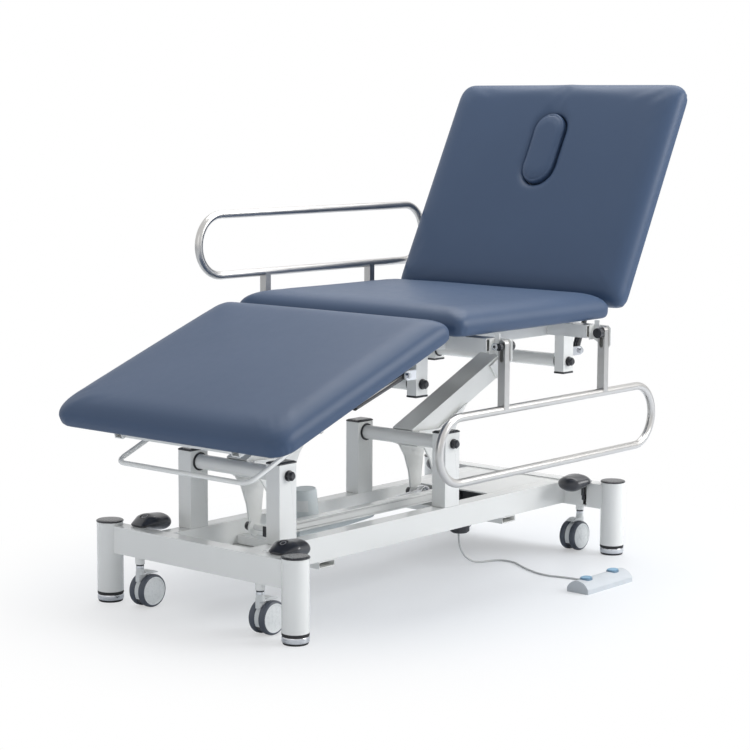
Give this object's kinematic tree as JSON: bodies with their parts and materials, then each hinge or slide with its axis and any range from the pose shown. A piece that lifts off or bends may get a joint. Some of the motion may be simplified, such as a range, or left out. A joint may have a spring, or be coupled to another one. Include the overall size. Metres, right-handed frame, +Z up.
{
  "type": "medical exam table",
  "caption": "Powered treatment couch with seat, tilting back and leg cushions, parallelogram lift, folding side rails, castors and a foot switch.",
  "frame": {"origin": "on the floor, under the middle of the bounding box of the couch with its foot switch", "axes": "+X from the foot end to the head end, +Y away from the side with the lowered rail and the foot switch, +Z up"},
  "size_m": [1.5166, 0.889, 1.1865],
  "materials": {
    "white_frame": "gloss powder coat",
    "navy_vinyl": "satin upholstery vinyl",
    "black_plastic": "fine grained moulded plastic",
    "guard_steel": "brushed stainless tube",
    "chrome_metal": "polished",
    "white_plastic": "moulded plastic",
    "wheel_plastic": "moulded hub with a blue-grey tread",
    "grey_plastic": "moulded plastic",
    "switch_grey": "satin moulded plastic",
    "button_blue": "soft moulded",
    "cord_grey": "flexible cable",
    "strut_black": "black enamel",
    "board_black": "lined board"
  },
  "bodies": {
    "base": {"side_rail": "white_frame", "end_beam": "white_frame", "corner_post": "white_frame", "level_foot": "chrome_metal", "base_post": "white_frame", "base_cap": "black_plastic", "pivot_cap": "black_plastic", "head_cover": "white_frame", "control_box": "grey_plastic", "junction_box": "black_plastic", "actuator_mount": "white_frame", "castor_socket": "white_frame", "foot_switch": "switch_grey", "switch_cord": "cord_grey"},
    "rear_arm": {"rear_arm": "white_frame", "rear_lever": "white_frame"},
    "front_arm": {"front_arm": "white_frame", "front_lever": "white_frame"},
    "tie_bar": {"tie_bar": "white_frame"},
    "actuator_body": {"actuator_body": "grey_plastic"},
    "actuator_rod": {"actuator_rod": "chrome_metal"},
    "upper_frame": {"upper_rail": "white_frame", "hanging_post": "white_frame", "upper_cap": "black_plastic", "strut_tab": "white_frame", "rail_bracket": "white_frame", "seat_board": "board_black", "seat_cushion": "navy_vinyl"},
    "leg_section": {"leg_frame": "white_frame", "leg_cushion": "navy_vinyl"},
    "release_handle": {"release_handle": "white_frame"},
    "leg_strut": {"leg_strut": "strut_black"},
    "leg_rod": {"leg_rod": "chrome_metal"},
    "back_section": {"back_frame": "white_frame", "back_cushion": "navy_vinyl"},
    "face_plug": {"face_plug": "navy_vinyl"},
    "back_strut": {"back_strut": "strut_black"},
    "back_rod": {"back_rod": "chrome_metal"},
    "near_pin": {"near_pin": "black_plastic"},
    "near_guard": {"near_guard": "guard_steel"},
    "far_pin": {"far_pin": "black_plastic"},
    "far_guard": {"far_guard": "guard_steel"},
    "lift_button": {"lift_button": "button_blue"},
    "lower_button": {"lower_button": "button_blue"},
    "castor_stem_fn": {"castor_stem_fn": "chrome_metal"},
    "castor_hood_fn": {"castor_hood_fn": "white_plastic"},
    "castor_wheel_fn": {"castor_wheel_fn": "wheel_plastic"},
    "pedal_fn": {"pedal_fn": "black_plastic"},
    "castor_stem_ff": {"castor_stem_ff": "chrome_metal"},
    "castor_hood_ff": {"castor_hood_ff": "white_plastic"},
    "castor_wheel_ff": {"castor_wheel_ff": "wheel_plastic"},
    "pedal_ff": {"pedal_ff": "black_plastic"},
    "castor_stem_hn": {"castor_stem_hn": "chrome_metal"},
    "castor_hood_hn": {"castor_hood_hn": "white_plastic"},
    "castor_wheel_hn": {"castor_wheel_hn": "wheel_plastic"},
    "pedal_hn": {"pedal_hn": "black_plastic"},
    "castor_stem_hf": {"castor_stem_hf": "chrome_metal"},
    "castor_hood_hf": {"castor_hood_hf": "white_plastic"},
    "castor_wheel_hf": {"castor_wheel_hf": "wheel_plastic"},
    "pedal_hf": {"pedal_hf": "black_plastic"}
  },
  "joints": [
    {"name": "lift", "type": "hinge", "parent": "base", "child": "rear_arm", "pos_m": [0.05407, 0.0575, 0.327], "axis": [0, -1, 0], "range_deg": [-10, 30]},
    {"name": "front_arm_turn", "type": "hinge", "parent": "base", "child": "front_arm", "pos_m": [-0.52093, 0.0575, 0.327], "axis": [0, -1, 0], "range_deg": [-10.5, 30.5]},
    {"name": "frame_level", "type": "hinge", "parent": "rear_arm", "child": "upper_frame", "pos_m": [0.43319, 0.0575, 0.4958], "axis": [0, -1, 0], "range_deg": [-30.5, 10.5]},
    {"name": "tie_bar_turn", "type": "hinge", "parent": "rear_arm", "child": "tie_bar", "pos_m": [0.15207, 0.036, 0.172], "axis": [0, -1, 0], "range_deg": [-30.5, 10.5]},
    {"name": "actuator_swing", "type": "hinge", "parent": "base", "child": "actuator_body", "pos_m": [-0.34943, 0.0735, 0.14], "axis": [0, -1, 0], "range_deg": [-3, 7]},
    {"name": "actuator_stroke", "type": "slide", "parent": "actuator_body", "child": "actuator_rod", "axis": [0.998, 0, 0.0637], "range_m": [-0.028, 0.078]},
    {"name": "leg_tilt", "type": "hinge", "parent": "upper_frame", "child": "leg_section", "pos_m": [-0.18443, 0.0575, 0.598], "axis": [0, 1, 0], "range_deg": [-4, 20.3]},
    {"name": "handle_pull", "type": "hinge", "parent": "leg_section", "child": "release_handle", "pos_m": [-0.54152, 0.0575, 0.46804], "axis": [0, 1, 0], "range_deg": [0, 12]},
    {"name": "leg_strut_swing", "type": "hinge", "parent": "upper_frame", "child": "leg_strut", "pos_m": [-0.19043, 0.0575, 0.52], "axis": [0, 1, 0], "range_deg": [-5, 22.5]},
    {"name": "leg_strut_stroke", "type": "slide", "parent": "leg_strut", "child": "leg_rod", "axis": [-0.9522, 0, -0.3054], "range_m": [-0.006, 0.028]},
    {"name": "back_tilt", "type": "hinge", "parent": "upper_frame", "child": "back_section", "pos_m": [0.47987, 0.0575, 0.598], "axis": [0, 1, 0], "range_deg": [-5, 62.5]},
    {"name": "face_plug_pull", "type": "slide", "parent": "back_section", "child": "face_plug", "axis": [-0.887, 0, 0.4617], "range_m": [0, 0.06]},
    {"name": "back_strut_swing", "type": "hinge", "parent": "upper_frame", "child": "back_strut", "pos_m": [0.48357, 0.0575, 0.519], "axis": [0, 1, 0], "range_deg": [-5, 54]},
    {"name": "back_strut_stroke", "type": "slide", "parent": "back_strut", "child": "back_rod", "axis": [0.4187, 0, 0.9081], "range_m": [-0.065, 0.006]},
    {"name": "near_guard_turn", "type": "hinge", "parent": "upper_frame", "child": "near_pin", "pos_m": [0.15057, -0.3155, 0.5855], "axis": [-1, 0, 0], "range_deg": [0, 180]},
    {"name": "near_guard_lift", "type": "slide", "parent": "near_pin", "child": "near_guard", "axis": [0, 0, 1], "range_m": [0, 0.014]},
    {"name": "far_guard_turn", "type": "hinge", "parent": "upper_frame", "child": "far_pin", "pos_m": [0.15057, 0.4305, 0.5855], "axis": [-1, 0, 0], "range_deg": [0, 180]},
    {"name": "far_guard_lift", "type": "slide", "parent": "far_pin", "child": "far_guard", "axis": [0, 0, 1], "range_m": [0, 0.017]},
    {"name": "pedal_fn", "type": "hinge", "parent": "base", "child": "pedal_fn", "pos_m": [-0.62443, -0.1575, 0.1814], "axis": [0, -1, 0], "range_deg": [0, 18]},
    {"name": "castor_lift_fn", "type": "slide", "parent": "base", "child": "castor_stem_fn", "axis": [0, 0, 1], "range_m": [0, 0.0095]},
    {"name": "castor_swivel_fn", "type": "hinge", "parent": "castor_stem_fn", "child": "castor_hood_fn", "pos_m": [-0.64143, -0.1295, 0.075], "axis": [0, 0, 1], "continuous": true},
    {"name": "castor_roll_fn", "type": "hinge", "parent": "castor_hood_fn", "child": "castor_wheel_fn", "pos_m": [-0.61943, -0.1295, 0.0375], "axis": [0, 1, 0], "continuous": true},
    {"name": "pedal_ff", "type": "hinge", "parent": "base", "child": "pedal_ff", "pos_m": [-0.62443, 0.2725, 0.1814], "axis": [0, -1, 0], "range_deg": [0, 18]},
    {"name": "castor_lift_ff", "type": "slide", "parent": "base", "child": "castor_stem_ff", "axis": [0, 0, 1], "range_m": [0, 0.0095]},
    {"name": "castor_swivel_ff", "type": "hinge", "parent": "castor_stem_ff", "child": "castor_hood_ff", "pos_m": [-0.64143, 0.2445, 0.075], "axis": [0, 0, 1], "continuous": true},
    {"name": "castor_roll_ff", "type": "hinge", "parent": "castor_hood_ff", "child": "castor_wheel_ff", "pos_m": [-0.61943, 0.2445, 0.0375], "axis": [0, 1, 0], "continuous": true},
    {"name": "pedal_hn", "type": "hinge", "parent": "base", "child": "pedal_hn", "pos_m": [0.52557, -0.1575, 0.1814], "axis": [0, 1, 0], "range_deg": [0, 18]},
    {"name": "castor_lift_hn", "type": "slide", "parent": "base", "child": "castor_stem_hn", "axis": [0, 0, 1], "range_m": [0, 0.0095]},
    {"name": "castor_swivel_hn", "type": "hinge", "parent": "castor_stem_hn", "child": "castor_hood_hn", "pos_m": [0.54257, -0.1295, 0.075], "axis": [0, 0, 1], "continuous": true},
    {"name": "castor_roll_hn", "type": "hinge", "parent": "castor_hood_hn", "child": "castor_wheel_hn", "pos_m": [0.52057, -0.1295, 0.0375], "axis": [0, 1, 0], "continuous": true},
    {"name": "pedal_hf", "type": "hinge", "parent": "base", "child": "pedal_hf", "pos_m": [0.52557, 0.2725, 0.1814], "axis": [0, 1, 0], "range_deg": [0, 18]},
    {"name": "castor_lift_hf", "type": "slide", "parent": "base", "child": "castor_stem_hf", "axis": [0, 0, 1], "range_m": [0, 0.0095]},
    {"name": "castor_swivel_hf", "type": "hinge", "parent": "castor_stem_hf", "child": "castor_hood_hf", "pos_m": [0.54257, 0.2445, 0.075], "axis": [0, 0, 1], "continuous": true},
    {"name": "castor_roll_hf", "type": "hinge", "parent": "castor_hood_hf", "child": "castor_wheel_hf", "pos_m": [0.52057, 0.2445, 0.0375], "axis": [0, 1, 0], "continuous": true},
    {"name": "lift_press", "type": "slide", "parent": "base", "child": "lift_button", "axis": [0, 0, -1], "range_m": [0, 0.003], "stiffness_N_per_m": 250},
    {"name": "lower_press", "type": "slide", "parent": "base", "child": "lower_button", "axis": [0, 0, -1], "range_m": [0, 0.003], "stiffness_N_per_m": 250}
  ],
  "couplings": [
    {"joint": "front_arm_turn", "follows": "lift", "ratio": 1},
    {"joint": "frame_level", "follows": "lift", "ratio": -1},
    {"joint": "tie_bar_turn", "follows": "lift", "ratio": -1},
    {"joint": "actuator_swing", "follows": "lift", "ratio": 0.20555},
    {"joint": "actuator_stroke", "follows": "lift", "m_per_rad": 0.146},
    {"joint": "leg_strut_swing", "follows": "leg_tilt", "ratio": 1.0589},
    {"joint": "leg_strut_stroke", "follows": "leg_tilt", "m_per_rad": 0.075361},
    {"joint": "back_strut_swing", "follows": "back_tilt", "ratio": 0.83488},
    {"joint": "back_strut_stroke", "follows": "back_tilt", "m_per_rad": -0.057499},
    {"joint": "castor_lift_fn", "follows": "pedal_fn", "m_per_rad": 0.028648},
    {"joint": "castor_lift_ff", "follows": "pedal_ff", "m_per_rad": 0.028648},
    {"joint": "castor_lift_hn", "follows": "pedal_hn", "m_per_rad": 0.028648},
    {"joint": "castor_lift_hf", "follows": "pedal_hf", "m_per_rad": 0.028648}
  ]
}
